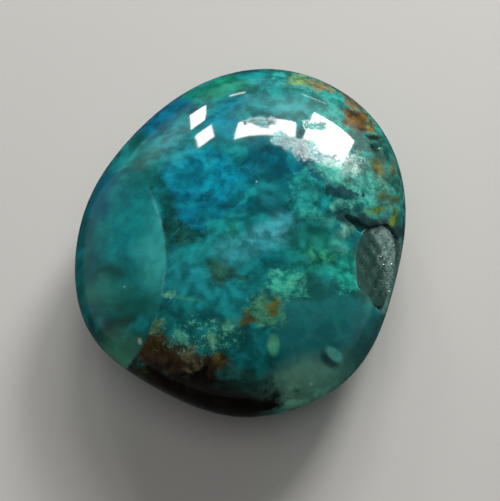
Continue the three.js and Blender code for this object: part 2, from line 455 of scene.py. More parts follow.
@dataclass
class QuartzCrust:
    """The crust of the hollow: a bed that follows the stone's surface, and quartz points grown on it.

    overlap is how far the bed runs into the hollow's wall, sink how far it lies under the stone's surface at
    its rim, and dip how much deeper it lies in its middle. The bed's low lumps are the product of two sine
    waves, each with a pace and a start. The points' shoulders and tips stand over the bed by the given shares
    of their width. The points lean at random, shrink toward the rim, and are small on the hollow's shaded
    side, up to pale_from along BRIGHT_SIDE.
    """

    form: StoneForm
    shift: np.ndarray
    overlap: float = 0.25
    sink: float = 0.28
    dip: float = 0.25
    lump: float = 0.09
    lump_waves: tuple[Pair, Pair] = ((3.3, 1.3), (4.1, 0.4))
    rows: int = 24
    steps: int = 96
    halvings: int = 30
    points: int = 320
    point_width: Pair = (0.04, 0.12)
    middle_size: float = 1.15
    rim_shrink: float = 0.5
    shaded_size: float = 0.35
    pale_from: float = 9.3
    scatter: float = 0.15
    spread: float = 0.97
    lean: float = 0.32
    fan: float = 5.0
    foot: float = 0.25
    shoulder: Pair = (0.1, 0.5)
    tip: Pair = (1.5, 2.0)
    seed: int = 7

    def spans(self, x: np.ndarray, y: np.ndarray) -> tuple[np.ndarray, np.ndarray, np.ndarray]:
        """Follow rays through places of the hollow.

        Args:
            x: places lengthways from its middle.
            y: places crossways from its middle.

        Returns:
            The rays' unit directions, and how far along them the crust begins and ends.
        """
        lengthways, across, _ = HOLLOW.axes()
        ways = unit(np.array(HOLLOW.at) + x[..., None] * lengthways + y[..., None] * across - self.form.heart)
        wall = HOLLOW.near_wall(self.form.heart, ways, self.overlap)
        bowl = np.maximum(1 - (x / HOLLOW.half_length) ** 2 - (y / HOLLOW.half_width) ** 2, 0)
        level = self.form.reach(ways) * (1 - (self.sink + self.dip * bowl) / self.form.girdle_radius)
        return ways, wall, level

    def rim(self, bearing: np.ndarray) -> np.ndarray:
        """Find how far out the crust reaches: where the hollow's wall meets the crust's level, by halving.

        Args:
            bearing: angles round the hollow's middle.

        Returns:
            The reach in each direction.
        """
        low, high = np.zeros_like(bearing), np.full_like(bearing, HOLLOW.half_length)
        for _ in range(self.halvings):
            middle = (low + high) / 2
            _, wall, level = self.spans(middle * np.cos(bearing), middle * np.sin(bearing))
            inside = wall < level
            low, high = np.where(inside, middle, low), np.where(inside, high, middle)
        return low

    def shell(self) -> tuple[np.ndarray, np.ndarray, np.ndarray]:
        """Work out the bed's closed surface, its top side from the middle out and its under side back in.

        The lumps of the top side fade toward the rim.

        Returns:
            The upper pole, the rings and the lower pole.
        """
        bearing = np.linspace(0, 2 * np.pi, self.steps, endpoint=False)
        reach = self.rim(bearing)
        share = np.linspace(0, 1, self.rows + 1)[1:, None]
        x, y = share * reach * np.cos(bearing), share * reach * np.sin(bearing)
        ways, wall, level = self.spans(x, y)
        upper = ways * level[..., None] + self.form.heart
        lower = ways * wall[..., None] + self.form.heart
        lump = self.lump * (1 - share**4)
        for place, (pace, start) in zip((x, y), self.lump_waves):
            lump = lump * np.sin(pace * place + start)
        upper = upper + lump[..., None] * HOLLOW.axes()[2]
        ways, wall, level = self.spans(np.zeros(1), np.zeros(1))
        top, bottom = ways[0] * level[0] + self.form.heart, ways[0] * wall[0] + self.form.heart
        return top, np.concatenate([upper, lower[-2::-1]]), bottom

    def crystals(self) -> tuple[np.ndarray, np.ndarray]:
        """Work out the quartz points: six-sided prisms, each with a six-sided tip.

        Each point is a ring of six corners below the bed, a ring at the shoulder and a tip, turned to its
        own lean and set at a sunflower place of the bed.

        Returns:
            The vertices of all the points, and their triangles.
        """
        chance = np.random.default_rng(self.seed)
        number = np.arange(self.points) + 0.5
        bearing = number * np.pi * (3 - math.sqrt(5)) + chance.normal(0, self.scatter, self.points)
        share = self.spread * np.sqrt(number / self.points)
        reach = self.rim(bearing)
        ways, _, level = self.spans(share * reach * np.cos(bearing), share * reach * np.sin(bearing))
        feet = ways * level[:, None] + self.form.heart
        upright = unit(feet - np.array(HOLLOW.at) + self.fan * HOLLOW.axes()[2])
        upright = unit(upright + chance.normal(0, self.lean, (self.points, 3)))
        side = unit(np.cross(upright, chance.normal(0, 1, (self.points, 3))))
        third = np.cross(upright, side)
        width = chance.uniform(*self.point_width, self.points) * (self.middle_size - self.rim_shrink * share)
        pale = np.clip(feet @ np.array(BRIGHT_SIDE) - self.pale_from, 0, 1)
        width *= self.shaded_size + (1 - self.shaded_size) * pale
        corner = np.arange(6)[:, None, None] * np.pi / 3
        ring = (np.cos(corner) * side + np.sin(corner) * third) * width[:, None]
        shoulder = width * chance.uniform(*self.shoulder, self.points)
        tip = width * chance.uniform(*self.tip, self.points)
        low, high = ring - self.foot * upright, ring + shoulder[:, None] * upright
        corners = np.concatenate([low, high, (tip[:, None] * upright)[None]]) + feet
        vertices = corners.transpose(1, 0, 2).reshape(-1, 3)
        here, after = np.arange(6), (np.arange(6) + 1) % 6
        sides = (
            (here, after, 6 + after),
            (here, 6 + after, 6 + here),
            (6 + here, 6 + after, np.full(6, 12)),
            (np.zeros(4, int), here[2:], here[1:5]),
        )
        triangles = np.concatenate([np.stack(side, -1) for side in sides])
        return vertices, (triangles + 13 * np.arange(self.points)[:, None, None]).reshape(-1, 3)

    def build(self) -> bpy.types.Object:
        """Build the bed and its quartz points as one piece.

        Returns:
            The crust.
        """
        top, rings, bottom = self.shell()
        piece = ringed_mesh("druse_crust", top + self.shift, rings + self.shift, bottom + self.shift)
        vertices, faces = self.crystals()
        points = mesh_object("druse_points", vertices + self.shift, faces.tolist(), smooth=False)
        with bpy.context.temp_override(active_object=piece, selected_editable_objects=[piece, points]):
            bpy.ops.object.join()
        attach(piece, "root")
        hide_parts("quartz_crust")
        return piece


class Drawing:
    """A node tree that is drawn node by node, each method returning the socket that the next one reads."""

    def __init__(self, tree: bpy.types.NodeTree) -> None:
        """Start drawing in a tree."""
        self.tree = tree

    def feed(self, node: bpy.types.Node, inputs: Inputs) -> None:
        """Fill a node's inputs.

        Args:
            node: the node.
            inputs: by name or number, a socket to link or a plain value to set.
        """
        for key, value in inputs.items():
            if isinstance(value, Socket):
                self.tree.links.new(value, node.inputs[key])
            else:
                node.inputs[key].default_value = value

    def put(self, kind: str, inputs: Inputs, **settings: object) -> bpy.types.Node:
        """Add a node.

        Args:
            kind: the node's type without its leading "ShaderNode".
            inputs: what feeds it.
            settings: the node's own properties.

        Returns:
            The node.
        """
        node = self.tree.nodes.new("ShaderNode" + kind)
        for key, value in settings.items():
            setattr(node, key, value)
        self.feed(node, inputs)
        return node

    def math(self, operation: str, a: Number, b: Number = 0.0) -> Socket:
        """Return the result of one sum on numbers."""
        return self.put("Math", {0: a, 1: b}, operation=operation).outputs[0]

    def vectors(self, operation: str, a: Arrow, b: Arrow = (0, 0, 0)) -> Socket:
        """Return the vector result of one sum on vectors."""
        return self.put("VectorMath", {0: a, 1: b}, operation=operation).outputs["Vector"]

    def along(self, a: Arrow, b: Arrow) -> Socket:
        """Return how far one vector goes along another: their dot product."""
        return self.put("VectorMath", {0: a, 1: b}, operation="DOT_PRODUCT").outputs["Value"]

    def ramp(self, value: Number, ends: Pair, levels: Pair = (0.0, 1.0), kind: str = "LINEAR") -> Socket:
        """Return a number that goes from one level to the other while the value goes between the ends."""
        inputs = dict(zip(("Value", "From Min", "From Max", "To Min", "To Max"), (value, *ends, *levels)))
        return self.put("MapRange", inputs, interpolation_type=kind).outputs["Result"]

    def step(self, value: Number, start: float, end: float, low: float = 0.0, high: float = 1.0) -> Socket:
        """Return a number that goes smoothly from low to high while the value goes from start to end."""
        return self.ramp(value, (start, end), (low, high), "SMOOTHSTEP")


class Sketch(Drawing):
    """A material with one principled shader."""

    def __init__(self, name: str) -> None:
        """Start an empty material."""
        self.material = bpy.data.materials.new(name)
        self.material.use_nodes = True
        super().__init__(self.material.node_tree)
        self.tree.nodes.clear()
        output = self.tree.nodes.new("ShaderNodeOutputMaterial")
        self.shader = self.tree.nodes.new("ShaderNodeBsdfPrincipled")
        self.tree.links.new(self.shader.outputs["BSDF"], output.inputs["Surface"])

    def coat(self, piece: bpy.types.Object, inputs: Inputs) -> None:
        """Feed the shader and give the material to a piece.

        Args:
            piece: the piece, which loses any other material.
            inputs: what feeds the shader.
        """
        self.feed(self.shader, inputs)
        piece.data.materials.clear()
        piece.data.materials.append(self.material)

    def place(self, rotation: Triple = (0, 0, 0)) -> Socket:
        """Return the object coordinates in millimetres, turned about the object's own origin."""
        return self.moved(self.put("TexCoord", {}).outputs["Object"], rotation=rotation, scale=(1 / MM,) * 3)

    def moved(
        self,
        vector: Socket,
        location: Triple = (0, 0, 0),
        rotation: Triple = (0, 0, 0),
        scale: Triple = (1, 1, 1),
        kind: str = "POINT",
    ) -> Socket:
        """Return a vector scaled, turned and then moved, or the other way round for kind TEXTURE."""
        inputs = {"Vector": vector, "Location": location, "Rotation": rotation, "Scale": scale}
        return self.put("Mapping", inputs, vector_type=kind).outputs["Vector"]

    def noise(
        self,
        vector: Socket,
        scale: float,
        detail: float = 2.0,
        roughness: float = 0.5,
        distortion: float = 0.0,
        output: str = "Fac",
    ) -> Socket:
        """Return a noise, as a number or as the colour that holds three of them."""
        inputs = {"Vector": vector, "Scale": scale, "Detail": detail, "Roughness": roughness}
        return self.put("TexNoise", {**inputs, "Distortion": distortion}).outputs[output]

    def scaled(self, vector: Socket, by: Number) -> Socket:
        """Return a vector times a number."""
        return self.put("VectorMath", {"Vector": vector, "Scale": by}, operation="SCALE").outputs["Vector"]

    def spun(self, vector: Socket, angle: float) -> Socket:
        """Return a vector turned about Z by an angle in degrees."""
        inputs = {"Vector": vector, "Angle": math.radians(angle)}
        return self.put("VectorRotate", inputs, rotation_type="Z_AXIS").outputs["Vector"]

    def part(self, vector: Socket, axis: str) -> Socket:
        """Return one of a vector's three numbers."""
        return self.put("SeparateXYZ", {0: vector}).outputs[axis]

    def length(self, vector: Socket) -> Socket:
        """Return a vector's length."""
        return self.put("VectorMath", {0: vector}, operation="LENGTH").outputs["Value"]

    def mix(self, factor: Number, a: Colour, b: Colour) -> Socket:
        """Return two colours mixed."""
        return self.put("Mix", {0: factor, 6: a, 7: b}, data_type="RGBA").outputs[2]

    def blend(self, factor: Number, a: Number, b: Number) -> Socket:
        """Return two numbers mixed."""
        return self.put("Mix", {0: factor, 2: a, 3: b}, data_type="FLOAT").outputs[0]

    def shaken(self, vector: Socket, scale: float, amount: float, detail: float) -> Socket:
        """Return a vector pushed about by noise, up to about half the amount each way."""
        push = self.vectors("SUBTRACT", self.noise(vector, scale, detail, output="Color"), (0.5, 0.5, 0.5))
        return self.vectors("ADD", vector, self.scaled(push, amount))


class Grain(Enum):
    """How a patch is laid: with a smooth, a cloudy or a torn border, or only as threads or as specks."""

    SMOOTH = "smooth"
    CLOUDY = "cloudy"
    RAGGED = "ragged"
    THREADED = "threaded"
    SPECKLED = "speckled"


SMOOTH, CLOUDY, RAGGED, THREADED, SPECKLED = Grain


@dataclass(frozen=True)
class Patch:
    """One patch of colour, an ellipsoid in the pattern's space.

    x is toward the stone's right and y up its slope, from the middle of the pattern. width, height and depth
    are half-axes, turn is anticlockwise in degrees, and edge is how soft the border is, as a share of the
    half-axes. second is the colour of its own mottling. A depth of 0 follows from the width and the height.
    """

    shade: str
    x: float
    y: float
    width: float
    height: float
    turn: float = 0.0
    edge: float = 0.5
    strength: float = 1.0
    grain: Grain = CLOUDY
    second: str = ""
    depth: float = 0.0

    @property
    def half_axes(self) -> Triple:
        """The half-axes, the last at least two millimetres where it isn't given."""
        return self.width, self.height, self.depth or max(2.0, 2.4 * max(self.width, self.height))


# The patches of the crown and the right side, from the deepest to the topmost.
CROWN = (
    # Dark blue-green depths across the crown.
    Patch("066474", 2.4, 6.6, 3.4, 1.8, 0, 0.5),
    Patch("0b6a70", 3.2, 2.5, 2.6, 0.9, -10, 0.6),
    # The blue heart and the blue bands of the back rim.
    Patch("01708c", -2.9, 4.8, 3.5, 3.0, 0, 0.4, 0.95, second="038aa0"),
    Patch("01809a", -4.2, 6.6, 2.2, 1.2, 20, 0.5, 0.8, second="189eac"),
    Patch("01708c", -4.9, 2.6, 1.5, 1.6, 30, 0.6, 0.7),
    Patch("02607a", -6.2, 11.0, 3.0, 0.9, 38, 0.5, second="05708c"),
    Patch("0c7a60", -1.8, 13.0, 2.6, 0.8, 12, 0.5, second="178a70"),
    Patch("057c90", -1.3, 10.0, 1.4, 1.9, 0, 0.6, second="0a8c9c"),
    # A painted reflection: the pale haze of the sky in the polish of the upper left.
    Patch("2c8c90", -5.6, 8.4, 2.4, 1.4, 45, 0.6, 0.85, SMOOTH),
    Patch("0a4a40", -9.0, 8.1, 0.5, 1.1, -35, 0.6, 0.9),
    Patch("05504f", -7.8, 5.2, 1.1, 0.8, 0, 0.7, 0.9),
    Patch("0b6a5e", -8.6, 6.2, 1.4, 1.9, -35, 0.7, 0.7),
    Patch("045a70", -1.0, 3.1, 0.9, 0.6, 20, 0.6, 0.8),
    Patch("07525e", 1.2, 7.2, 0.9, 1.6, -30, 0.6, 0.8),
    Patch("0a525a", 2.6, 3.6, 1.1, 1.3, 10, 0.6, 0.7),
    Patch("025068", -3.1, 3.9, 1.4, 0.5, 25, 0.6, 0.7),
    Patch("1c98a8", -2.8, 5.3, 3.2, 2.6, 0, 0.6, 0.4, THREADED),
    # Green depths right of the lens, and the teal middle with its fibres.
    Patch("0b4640", -5.2, 0.6, 2.1, 0.9, -25, 0.4, 1.0, second="14564a"),
    Patch("0c5550", -6.2, 3.2, 0.6, 1.4, 20, 0.5, 0.9),
    Patch("14868c", -3.2, -3.4, 3.8, 2.2, 0, 0.6, 0.85, second="1f979a"),
    Patch("1e5246", -1.6, -2.3, 1.4, 0.95, -25, 0.45, 1.0, second="2c5c48"),
    Patch("245a4c", 0.2, -3.0, 0.8, 0.35, -8, 0.3, 0.9),
    Patch("369ea8", 1.8, 0.5, 3.4, 1.1, 22, 0.7, 0.9, second="54b4bc"),
    Patch("1b7b80", 2.2, 4.6, 0.8, 1.3, 0, 0.7, 0.7),
    Patch("1a8a80", -0.7, 1.2, 0.55, 0.6, 0, 0.4, 1.0, SMOOTH, "2a9e90"),
    Patch("0a7078", 3.0, -1.8, 1.8, 0.9, 0, 0.6, 0.7),
    Patch("0c6668", -5.2, -6.4, 2.2, 1.3, 0, 0.4, 0.9, second="127e7c"),
    Patch("0d6260", -1.0, -8.2, 2.2, 1.2, 0, 0.6, 0.8),
    Patch("2f9c9c", -3.4, -0.8, 3.4, 2.6, 0, 0.6, 0.25, THREADED),
    # The hazy lower right lobe, with a painted glow of light through the stone along its lower rim.
    Patch("1d7276", 7.6, -7.0, 4.6, 4.4, 20, 0.12, 1.0, SMOOTH, "247c7a", 12.0),
    Patch("15504a", 6.2, -4.0, 2.6, 0.7, 0, 0.6, 0.8),
    Patch("70ae96", 5.2, -12.0, 3.4, 1.9, 25, 0.6, 0.95, SMOOTH, depth=9.0),
    Patch("62a692", 7.6, -11.2, 2.4, 0.9, 38, 0.7, 0.8, SMOOTH),
    Patch("2a5f5a", 10.6, -8.4, 0.9, 3.4, -35, 0.7, 0.7, SMOOTH),
    # The turquoise and mint crust of the right side.
    Patch("236e64", 11.4, 5.2, 4.0, 3.8, 0, 0.07, 1.0, RAGGED, "3a8c7c", 30.0),
    Patch("178078", 8.0, 11.2, 5.6, 2.6, -32, 0.07, 1.0, RAGGED, "349e90", 30.0),
    Patch("17857c", 4.6, 12.0, 2.0, 0.9, 0, 0.3, 0.9, RAGGED, "0f7468"),
    # A painted reflection: a pale haze of the sky in the polish near the top.
    Patch("3ea6aa", 3.8, 11.7, 2.2, 0.8, -6, 0.7, 0.6, second="56b8ba"),
    Patch("3aac9c", 10.6, 4.6, 1.4, 1.3, 0, 0.4, 0.85, RAGGED, "5cc0b0"),
    Patch("36a898", 7.6, 6.0, 1.5, 0.8, -20, 0.4, 0.85, RAGGED, "6cc4b4"),
    Patch("135e56", 11.6, 7.6, 0.9, 1.5, -30, 0.4, 0.8, RAGGED),
    Patch("165f58", 9.6, 8.9, 0.7, 1.2, -50, 0.4, 0.7, RAGGED),
    Patch("1a8580", 5.4, 4.2, 1.5, 1.9, 0, 0.25, 0.85, RAGGED, "2a9a92"),
    Patch("8fc8b4", 9.2, 6.6, 1.3, 1.3, 0, 0.4, 0.9, THREADED),
    Patch("6caaa4", 5.2, 7.9, 2.4, 0.8, -22, 0.3, 0.6, SPECKLED),
    Patch("349484", 8.6, 3.3, 1.3, 0.4, 15, 0.4, 0.75, RAGGED, "66b8a4"),
    Patch("12484c", 8.3, 4.1, 1.7, 0.55, -8, 0.15, 1.0, RAGGED),
    Patch("14504f", 10.0, 3.1, 0.5, 0.4, 0, 0.2, 0.9, RAGGED),
    Patch("1b8a80", 6.6, 2.2, 1.4, 0.8, -20, 0.4, 0.85, RAGGED, "3aa294"),
    Patch("3f9888", 7.3, 1.6, 0.6, 0.3, 0, 0.4, 0.7, RAGGED),
    Patch("41988a", 9.1, 1.0, 0.8, 0.6, 0, 0.3, 0.9, RAGGED, "7ac0ae"),
    # The dark band of painted shadow under the ledge, and the green lobes left of the hollow.
    Patch("129686", 9.3, -2.3, 1.5, 1.7, 0, 0.15, 0.95, RAGGED, "2fb49e", 4.0),
    Patch("0f5c58", 6.2, 0.9, 1.9, 1.3, 0, 0.6, 0.8),
    Patch("127060", 6.8, -1.4, 2.6, 2.1, 0, 0.5, 0.8, second="22907c"),
    Patch("147862", 6.9, -1.0, 1.2, 0.8, 0, 0.4, 0.8, RAGGED, "369a74"),
    Patch("2a9a8c", 8.2, 0.2, 0.6, 1.4, 20, 0.4, 0.85, second="52b4a6"),
    Patch("1c9484", 4.0, -3.5, 1.5, 1.2, 0, 0.3, 0.95, RAGGED, "4cb89a"),
    Patch("38886c", 2.4, -5.8, 1.4, 1.3, 0, 0.35, 0.95, RAGGED, "58a480"),
    Patch("505c24", 2.7, -5.4, 0.7, 0.6, 0, 0.6, 0.95, RAGGED, "64682c"),
    Patch("404420", 0.3, -6.6, 0.8, 0.5, 0, 0.6, 0.95, RAGGED, "4c4620"),
    Patch("2c8476", -0.9, -6.8, 1.0, 0.5, 0, 0.4, 0.7, RAGGED, "4aa890"),
    Patch("44a884", 2.8, -8.6, 0.5, 0.85, 0, 0.35, 1.0, SMOOTH, "62b894"),
    # A pale inclusion, with its painted shadow, the darker patch, below and to its left.
    Patch("0e4448", 7.5, -9.9, 0.9, 0.5, -40, 0.5, 0.9, SMOOTH),
    Patch("48b0a2", 7.9, -9.4, 0.85, 0.45, -42, 0.35, 1.0, SMOOTH, "6cc4b8"),
    Patch("2a8c7c", 11.1, -5.3, 0.6, 0.5, 0, 0.5, 0.9),
    Patch("1b7a70", 8.5, -6.3, 0.5, 0.4, 0, 0.6, 0.8),
    # The grey-green hollow, with painted shade on its shaded left wall and a painted shadow in the dark band
    # under the ledge.
    Patch("547a72", 12.2, -2.0, 2.3, 3.8, 8, 0.25, 1.0, SMOOTH, depth=12.0),
    Patch("34605a", 11.0, -3.6, 0.9, 1.8, 15, 0.5, 0.9),
    Patch("1c3c3e", 10.9, 1.5, 3.6, 0.85, -10, 0.4, 1.0),
    # The brown rock along the lower left, with ochre and beige spots and mint threads.
    # Its near-black bottom is partly the rock's own dark colour and partly painted shade where the front
    # turns under.
    Patch("0c0a08", -3.4, -14.6, 6.7, 3.0, -14, 0.3, 1.0, SMOOTH, depth=14.0),
    Patch("3c301e", -4.8, -10.4, 4.6, 1.7, -22, 0.3, 1.0, second="4c3c2c", depth=8.0),
    Patch("0f0c09", -2.8, -13.0, 6.0, 2.3, -12, 0.35, 1.0, second="1c1610", depth=12.0),
    Patch("1c150e", -6.8, -11.6, 2.2, 0.8, -30, 0.35, 1.0, depth=6.0),
    Patch("34402c", -9.0, -10.3, 1.2, 0.6, -40, 0.5, 0.9, depth=6.0),
    Patch("1c3c34", 0.9, -11.9, 1.7, 0.9, 0, 0.7, 0.75, second="2a5044"),
    Patch("24423c", -1.8, -12.0, 0.6, 0.3, 0, 0.5, 0.6, RAGGED),
    Patch("2f6a5a", -0.4, -11.0, 1.4, 0.4, -10, 0.5, 0.6, RAGGED),
    Patch("4a3818", -7.0, -8.3, 1.1, 0.7, -10, 0.5, 0.95, RAGGED, "5e4a24"),
    Patch("4a3414", -8.2, -8.6, 0.6, 0.45, 0, 0.5, 0.95, RAGGED),
    Patch("4c7650", -7.4, -6.9, 0.8, 0.6, 0, 0.5, 0.9, RAGGED, "708c60"),
    Patch("565040", -4.2, -9.7, 0.7, 1.0, 0, 0.5, 0.85, RAGGED, "7c785c"),
    Patch("463c16", -1.6, -9.9, 0.8, 0.6, 0, 0.5, 0.95, RAGGED, "5c4c22"),
    Patch("388a70", -4.9, -7.9, 0.6, 0.45, -20, 0.4, 0.7, RAGGED, "6cc0a0"),
    Patch("469a7a", -2.3, -8.2, 0.45, 0.8, 10, 0.4, 0.75, RAGGED, "84d0a8"),
    Patch("4aa488", -0.9, -7.0, 0.7, 0.3, 30, 0.5, 0.7, RAGGED, "7accb0"),
    Patch("6ac8a0", -3.4, -7.9, 3.2, 1.4, 0, 0.5, 0.9, SPECKLED),
    Patch("50b090", -5.9, -4.5, 0.5, 0.3, 0, 0.4, 0.9, RAGGED, "8ad8b4"),
    Patch("3d9c88", -4.7, -4.7, 1.3, 0.14, -9, 0.6, 0.7, SMOOTH),
    # Rust and olive stains of the right shoulder, and near-black marks over its pits.
    Patch("5a481e", 9.9, 10.3, 1.5, 0.8, -32, 0.3, 1.0, RAGGED, "7c5e2c"),
    Patch("1e1c14", 9.5, 10.8, 0.45, 0.2, -20, 0.3, 0.9, RAGGED),
    Patch("7c6040", 9.4, 11.9, 1.2, 0.4, -35, 0.4, 0.85, RAGGED),
    Patch("7a6038", 6.6, 13.3, 1.4, 0.5, -18, 0.4, 0.85, RAGGED, "86784c"),
    Patch("5e8044", 4.8, 13.9, 0.8, 0.5, 0, 0.7, 0.8, RAGGED, "8aa85c"),
    Patch("5e5c22", 11.5, 6.3, 0.45, 0.8, 10, 0.8, 0.9, RAGGED, "7c6c2c"),
    Patch("5c6426", 11.8, 4.2, 0.35, 0.5, 0, 0.8, 0.9, RAGGED, "4a4e1c"),
    Patch("584e16", 12.8, 3.7, 0.4, 0.35, 0, 0.8, 0.9, RAGGED, "3c3a14"),
    Patch("467026", 11.5, 2.9, 0.9, 0.25, 8, 0.7, 0.9, RAGGED, "62762e"),
    Patch("5c7c30", 12.8, 2.1, 0.22, 0.6, 0, 0.8, 0.9, RAGGED, "76983c"),
    Patch("6c5430", 12.6, 6.5, 0.22, 0.5, 0, 0.8, 0.8, RAGGED),
    Patch("7c6c28", 10.6, 8.6, 1.6, 1.8, -40, 0.4, 0.6, SPECKLED),
    Patch("3e5224", 12.0, 4.6, 1.2, 2.6, 10, 0.5, 0.7, SPECKLED),
    # Near-black marks over the pits.
    Patch("0e2420", 10.4, 9.55, 0.6, 0.13, -25, 0.5, 0.9),
    Patch("0c2a20", 11.3, 8.8, 0.6, 0.2, 0, 0.5, 0.9),
    Patch("12382c", 11.1, 7.9, 0.4, 0.22, 0, 0.5, 0.85),
    # Two painted glints: small bright specks standing in for highlights.
    Patch("c4e4e0", 1.34, 5.13, 0.08, 0.08, 0, 0.5, 0.8, SMOOTH),
    Patch("b4d4c8", 5.97, -11.9, 0.12, 0.1, 0, 0.5, 0.8, SMOOTH),
)
# The patches of the clear lens on the left, from the deepest to the topmost.
LENS = (
    Patch("0c8c92", -9.0, 0.4, 3.2, 3.6, 0, 0.7, 0.9, second="149c9a"),
    Patch("036a80", -11.9, 3.6, 1.0, 2.2, -20, 0.6, 0.9),
    Patch("0c646a", -12.8, -1.0, 1.0, 3.8, 0, 0.6, 0.8),
    Patch("34a8a4", -7.3, -1.0, 1.3, 3.6, 0, 0.7, 0.9, second="42b6b0"),
    Patch("145650", -10.3, -2.4, 1.6, 1.0, 10, 0.7, 0.85),
    Patch("329080", -11.2, -4.3, 1.8, 1.2, 0, 0.7, 0.85),
    Patch("106458", -9.3, -5.2, 1.8, 1.3, 0, 0.7, 0.8),
    Patch("244c42", -10.4, -7.1, 1.6, 0.6, 25, 0.6, 0.8),
    # The lens's lower tip, lighter: a painted glow of light coming through the clear stone.
    Patch("36806a", -9.9, -9.0, 1.9, 1.6, 0, 0.6, 0.9, SMOOTH, "428c74"),
    Patch("56a888", -9.6, -10.2, 2.2, 0.9, -30, 0.6, 0.85, SMOOTH),
    # Two painted glints: small bright specks standing in for highlights.
    Patch("b8c0b0", -8.45, -8.3, 0.16, 0.26, 10, 0.5, 0.9, SMOOTH),
    Patch("8ccac2", -9.75, -3.7, 0.08, 0.08, 0, 0.5, 0.7, SMOOTH),
)
# Where the polish is worn, and the lower right lobe, where the stone is clear. They have no colour.
WORN = (
    Patch("", 1.8, 10.05, 1.0, 0.4, 0, 0.35, 0.7, RAGGED),
    Patch("", 3.4, 8.5, 0.8, 0.4, 0, 0.4, 0.6, RAGGED),
    Patch("", 5.2, 7.9, 2.4, 0.7, -22, 0.3, 0.5, RAGGED),
    Patch("", 6.2, 10.0, 0.85, 0.45, -15, 0.3, 0.9, RAGGED),
    Patch("", 9.4, 6.6, 0.9, 0.9, 0, 0.3, 0.6, RAGGED),
)
CLEAR_LOBE = Patch("", 7.0, -8.0, 5.0, 4.6, 20, 0.3, 1.0, SMOOTH)


@dataclass(frozen=True)
class PatternSpace:
    """The space that the colours are laid out in.

    It leans back over the stone by some degrees about its middle, and narrows away from the eye. The depths
    tried for the stone's surface go from the first to the last in so many steps.
    """

    lean: float = 30.0
    middle: Triple = MIDDLE
    narrowing: float = 130.0
    depths_tried: tuple[float, float, int] = (14.0, -22.0, 721)

    def seen_depth(self, form: StoneForm, shift: np.ndarray, x: np.ndarray, y: np.ndarray) -> np.ndarray:
        """Find how high over the pattern's middle the stone's surface is at places of the pattern.

        Many depths are tried on each place's line of sight, and the nearest one inside the stone is kept,
        or the one least far outside where the line misses.

        Args:
            form: the stone's ground form.
            shift: how far the stone is moved sideways.
            x: places toward the right.
            y: places up the slope.

        Returns:
            The depths, in the narrowed scale of the pattern.
        """
        depth = np.linspace(*self.depths_tried)
        narrow = 1 - depth / self.narrowing
        cos, sin = math.cos(math.radians(self.lean)), math.sin(math.radians(self.lean))
        right, up = x[:, None] * narrow, y[:, None] * narrow
        points = np.stack([right, up * cos - depth * sin, up * sin + depth * cos], -1)
        points = points + np.array(self.middle) - shift - form.heart
        far = np.linalg.norm(points, axis=-1)
        outside = far - form.reach(points / far[..., None])
        first = np.where(outside.min(1) < 0, np.argmax(outside < 0, axis=1), np.argmin(outside, axis=1))
        return depth[first] / narrow[first]

    def coordinates(self, sketch: Sketch) -> Socket:
        """Draw the pattern's coordinates: the object's, leaned, centred and spread toward the eye.

        Args:
            sketch: the material.

        Returns:
            The coordinates.
        """
        leaned = Euler((math.radians(-self.lean), 0, 0))
        middle = leaned.to_matrix() @ Vector(self.middle)
        level = sketch.moved(sketch.place(rotation=tuple(leaned)), location=tuple(-middle))
        distance = sketch.math("SUBTRACT", self.narrowing, sketch.part(level, "Z"))
        return sketch.scaled(level, sketch.math("DIVIDE", self.narrowing, distance))


class Weather:
    """The noises that the patches share."""

    def __init__(self, sketch: Sketch, space: Socket) -> None:
        """Make the noises of one material, most of them on coordinates that drift a little.

        Args:
            sketch: the material.
            space: the pattern's coordinates.
        """
        self.sketch = sketch
        self.space = space
        self.drifted = drifted = sketch.shaken(space, scale=0.35, amount=1.3, detail=2)
        self.cloud = sketch.noise(drifted, scale=0.45, detail=4, roughness=0.55)
        self.grit = sketch.noise(drifted, scale=1.0, detail=8, roughness=0.74)
        soft_vein = sketch.noise(drifted, scale=0.9, detail=3, roughness=0.5)
        self.soft_vein = sketch.step(soft_vein, 0.36, 0.64)
        sharp_vein = sketch.noise(drifted, scale=1.6, detail=7, roughness=0.72)
        self.sharp_vein = sketch.step(sharp_vein, 0.38, 0.62)
        turned = sketch.moved(drifted, rotation=(0, 0, 0.6))
        fibre = sketch.noise(turned, scale=0.9, detail=4, roughness=0.6, distortion=0.6)
        self.thread = sketch.step(sketch.math("ABSOLUTE", sketch.math("SUBTRACT", fibre, 0.5)), 0.07, 0.0)
        self.speck = sketch.step(sketch.noise(space, scale=2.6, detail=5, roughness=0.75), 0.52, 0.6)
        self.bites = {
            SMOOTH: self.bite(self.cloud, 0.5),
            CLOUDY: self.bite(self.cloud, 2.6),
            RAGGED: self.bite(self.grit, 4.2),
            THREADED: self.bite(self.cloud, 2.6),
            SPECKLED: self.bite(self.grit, 3.0),
        }

    def bite(self, noise: Socket, amount: float) -> Socket:
        """Return how far a noise pushes a patch's border in or out."""
        return self.sketch.math("MULTIPLY", self.sketch.math("SUBTRACT", noise, 0.5), amount)

    def cover(self, patch: Patch, depth: float) -> Socket:
        """Draw how much of a patch's colour lies at each place.

        The place is measured in the patch's half-axes, so that its border is at one. The noise shifts that
        distance, and the cover fades from one to zero about the border.

        Args:
            patch: the patch.
            depth: the height of its middle in the pattern's space.

        Returns:
            The cover, from 0 to the patch's strength.
        """
        sketch = self.sketch
        space = self.space if patch.grain is SMOOTH else self.drifted
        away = sketch.vectors("SUBTRACT", space, (patch.x, patch.y, depth))
        if patch.turn:
            away = sketch.spun(away, -patch.turn)
        placed = sketch.vectors("DIVIDE", away, patch.half_axes)
        border = sketch.math("ADD", sketch.length(placed), self.bites[patch.grain])
        cover = sketch.step(border, 1 + patch.edge, 1 - patch.edge, 0, patch.strength)
        if patch.grain is THREADED:
            cover = sketch.math("MULTIPLY", cover, self.thread)
        if patch.grain is SPECKLED:
            cover = sketch.math("MULTIPLY", cover, self.speck)
        return cover


